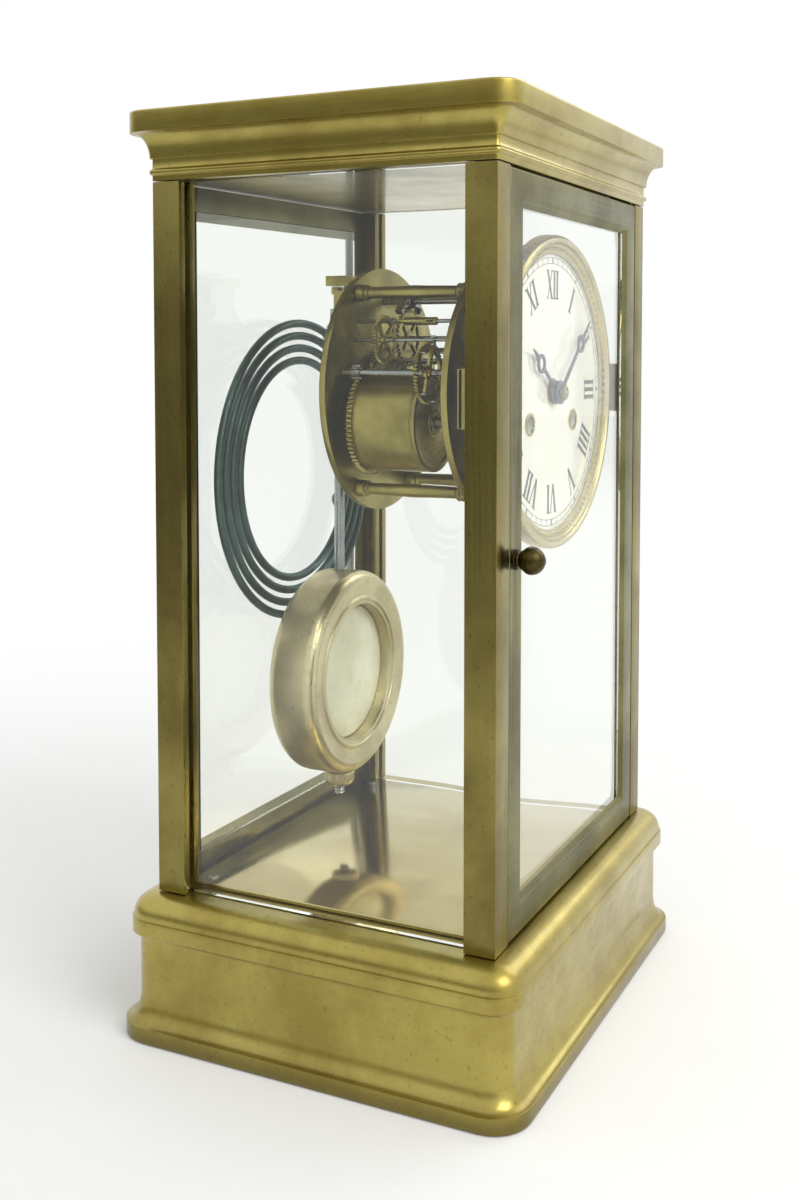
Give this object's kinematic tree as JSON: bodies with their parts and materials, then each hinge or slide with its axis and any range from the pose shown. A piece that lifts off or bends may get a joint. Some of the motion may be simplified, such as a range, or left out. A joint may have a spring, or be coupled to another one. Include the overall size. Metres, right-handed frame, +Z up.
{
  "type": "crystal regulator clock",
  "caption": "Brass four-glass mantel clock with bevelled panes, two hinged doors, an open striking movement, a pendulum and a coiled gong.",
  "frame": {"origin": "centre of the base's underside, on the surface that the clock stands on", "axes": "+Z up, -Y towards the viewer of the dial, +X to that viewer's right"},
  "size_m": [0.1526, 0.1276, 0.27],
  "materials": {
    "case_brass": "polished, slightly aged",
    "dark_brass": "darkened with handling",
    "polished_brass": "mirror polish",
    "movement_brass": "fine satin",
    "bob_brass": "satin",
    "bob_centre": "silvered, domed",
    "steel": "polished",
    "blued_steel": "blued",
    "gong_steel": "blue-black, oiled",
    "enamel": "vitreous enamel, glossy",
    "glass": "clear, bevelled edges"
  },
  "bodies": {
    "case": {"base_moulding": "case_brass", "cornice": "case_brass", "post_front_left": "case_brass", "post_front_right": "case_brass", "post_back_left": "case_brass", "post_back_right": "case_brass", "post_screw_front_left": "steel", "post_screw_front_right": "steel", "post_screw_back_left": "steel", "post_screw_back_right": "steel", "floor_plate": "polished_brass", "side_glass_left": "glass", "side_glass_right": "glass", "front_plate": "movement_brass", "back_plate": "movement_brass", "plate_nut_1": "steel", "plate_nut_2": "steel", "plate_nut_3": "steel", "plate_nut_4": "steel", "back_cock": "movement_brass", "suspension_spring": "steel", "gong": "gong_steel", "gong_stand": "steel", "dial": "enamel", "dial_back_plate": "movement_brass", "dial_bezel": "case_brass"},
    "front_door": {"front_door_frame": "case_brass", "front_door_glass": "glass"},
    "front_latch": {"front_door_latch": "dark_brass"},
    "back_door": {"back_door_frame": "case_brass", "back_door_glass": "glass"},
    "back_latch": {"back_door_latch": "dark_brass"},
    "time_barrel": {"time_barrel": "movement_brass", "time_mainspring": "blued_steel"},
    "time_winding": {"time_winding_arbor": "steel"},
    "time_click": {"time_click": "steel"},
    "strike_barrel": {"strike_barrel": "movement_brass", "strike_mainspring": "blued_steel"},
    "strike_winding": {"strike_winding_arbor": "steel"},
    "strike_click": {"strike_click": "steel"},
    "intermediate_wheel": {"intermediate_wheel": "movement_brass"},
    "centre_wheel": {"centre_wheel": "movement_brass"},
    "third_wheel": {"third_wheel": "movement_brass"},
    "escape_wheel": {"escape_wheel": "movement_brass"},
    "pallets": {"pallet_anchor": "steel"},
    "pendulum": {"pendulum_rod": "steel", "pendulum_bob": "bob_brass", "bob_centre": "bob_centre"},
    "rating_nut": {"rating_nut": "case_brass"},
    "pin_wheel": {"strike_pin_wheel": "movement_brass"},
    "locking_wheel": {"strike_locking_wheel": "movement_brass"},
    "fly": {"strike_fly": "steel"},
    "hammer": {"hammer": "steel"},
    "minute_hand": {"minute_hand": "blued_steel", "cannon_pinion": "movement_brass", "hand_nut": "case_brass"},
    "minute_wheel": {"minute_wheel": "movement_brass"},
    "hour_hand": {"hour_hand": "blued_steel", "hour_wheel": "movement_brass"}
  },
  "joints": [
    {"name": "front_door_hinge", "type": "hinge", "parent": "case", "child": "front_door", "pos_m": [0.0542, -0.0523, 0.14625], "axis": [0, 0, 1], "range_deg": [0, 105]},
    {"name": "front_latch_turn", "type": "hinge", "parent": "front_door", "child": "front_latch", "pos_m": [-0.0536, -0.0523, 0.14625], "axis": [0, 1, 0], "range_deg": [-90, 0]},
    {"name": "back_door_hinge", "type": "hinge", "parent": "case", "child": "back_door", "pos_m": [-0.0542, 0.0523, 0.14625], "axis": [0, 0, 1], "range_deg": [0, 105]},
    {"name": "back_latch_turn", "type": "hinge", "parent": "back_door", "child": "back_latch", "pos_m": [0.0536, 0.0523, 0.14625], "axis": [0, 1, 0], "range_deg": [0, 90]},
    {"name": "third_wheel_turn", "type": "hinge", "parent": "case", "child": "third_wheel", "pos_m": [-0.01047, 0, 0.19836], "axis": [0, -1, 0], "continuous": true},
    {"name": "escape_wheel_turn", "type": "hinge", "parent": "case", "child": "escape_wheel", "pos_m": [0, 0, 0.20516], "axis": [0, -1, 0], "continuous": true},
    {"name": "centre_wheel_turn", "type": "hinge", "parent": "case", "child": "centre_wheel", "pos_m": [0, 0, 0.189], "axis": [0, -1, 0], "continuous": true},
    {"name": "intermediate_wheel_turn", "type": "hinge", "parent": "case", "child": "intermediate_wheel", "pos_m": [0.01362, 0, 0.19758], "axis": [0, -1, 0], "continuous": true},
    {"name": "time_barrel_turn", "type": "hinge", "parent": "case", "child": "time_barrel", "pos_m": [0.0175, 0, 0.18], "axis": [0, -1, 0], "continuous": true},
    {"name": "time_winding_turn", "type": "hinge", "parent": "case", "child": "time_winding", "pos_m": [0.0175, 0, 0.18], "axis": [0, -1, 0], "continuous": true},
    {"name": "time_click_lift", "type": "hinge", "parent": "case", "child": "time_click", "pos_m": [0.0235, 0, 0.1846], "axis": [0, -1, 0], "range_deg": [-25, 0]},
    {"name": "strike_winding_turn", "type": "hinge", "parent": "case", "child": "strike_winding", "pos_m": [-0.0175, 0, 0.18], "axis": [0, -1, 0], "continuous": true},
    {"name": "strike_click_lift", "type": "hinge", "parent": "case", "child": "strike_click", "pos_m": [-0.0235, 0, 0.1846], "axis": [0, -1, 0], "range_deg": [0, 25]},
    {"name": "pendulum_swing", "type": "hinge", "parent": "case", "child": "pendulum", "pos_m": [0, 0.028, 0.2165], "axis": [0, -1, 0], "range_deg": [-3.5, 3.5]},
    {"name": "pallets_rock", "type": "hinge", "parent": "case", "child": "pallets", "pos_m": [0, 0, 0.2165], "axis": [0, -1, 0], "range_deg": [-3.5, 3.5]},
    {"name": "rating_nut_turn", "type": "hinge", "parent": "pendulum", "child": "rating_nut", "pos_m": [0, 0.028, 0.06], "axis": [0, 0, 1], "continuous": true},
    {"name": "locking_wheel_turn", "type": "hinge", "parent": "case", "child": "locking_wheel", "pos_m": [-0.02397, 0, 0.20462], "axis": [0, -1, 0], "continuous": true},
    {"name": "fly_turn", "type": "hinge", "parent": "case", "child": "fly", "pos_m": [-0.01801, 0, 0.21018], "axis": [0, -1, 0], "continuous": true},
    {"name": "pin_wheel_turn", "type": "hinge", "parent": "case", "child": "pin_wheel", "pos_m": [-0.02748, 0, 0.19498], "axis": [0, -1, 0], "continuous": true},
    {"name": "strike_barrel_turn", "type": "hinge", "parent": "case", "child": "strike_barrel", "pos_m": [-0.0175, 0, 0.18], "axis": [0, -1, 0], "continuous": true},
    {"name": "hammer_swing", "type": "hinge", "parent": "case", "child": "hammer", "pos_m": [0.03, 0, 0.201], "axis": [0, -1, 0], "range_deg": [0, 20]},
    {"name": "minute_hand_turn", "type": "hinge", "parent": "case", "child": "minute_hand", "pos_m": [0, 0, 0.189], "axis": [0, -1, 0], "continuous": true},
    {"name": "minute_wheel_turn", "type": "hinge", "parent": "case", "child": "minute_wheel", "pos_m": [0, 0, 0.1782], "axis": [0, -1, 0], "continuous": true},
    {"name": "hour_hand_turn", "type": "hinge", "parent": "case", "child": "hour_hand", "pos_m": [0, 0, 0.189], "axis": [0, -1, 0], "continuous": true}
  ],
  "couplings": [
    {"joint": "escape_wheel_turn", "follows": "third_wheel_turn", "ratio": -12},
    {"joint": "centre_wheel_turn", "follows": "third_wheel_turn", "ratio": -0.083333},
    {"joint": "intermediate_wheel_turn", "follows": "third_wheel_turn", "ratio": 0.013889},
    {"joint": "time_barrel_turn", "follows": "third_wheel_turn", "ratio": -0.0017361},
    {"joint": "strike_barrel_turn", "follows": "pin_wheel_turn", "ratio": -0.125},
    {"joint": "locking_wheel_turn", "follows": "pin_wheel_turn", "ratio": -8},
    {"joint": "fly_turn", "follows": "pin_wheel_turn", "ratio": 56},
    {"joint": "minute_wheel_turn", "follows": "minute_hand_turn", "ratio": -0.33333},
    {"joint": "hour_hand_turn", "follows": "minute_hand_turn", "ratio": 0.083333},
    {"joint": "pallets_rock", "follows": "pendulum_swing", "ratio": 1}
  ]
}
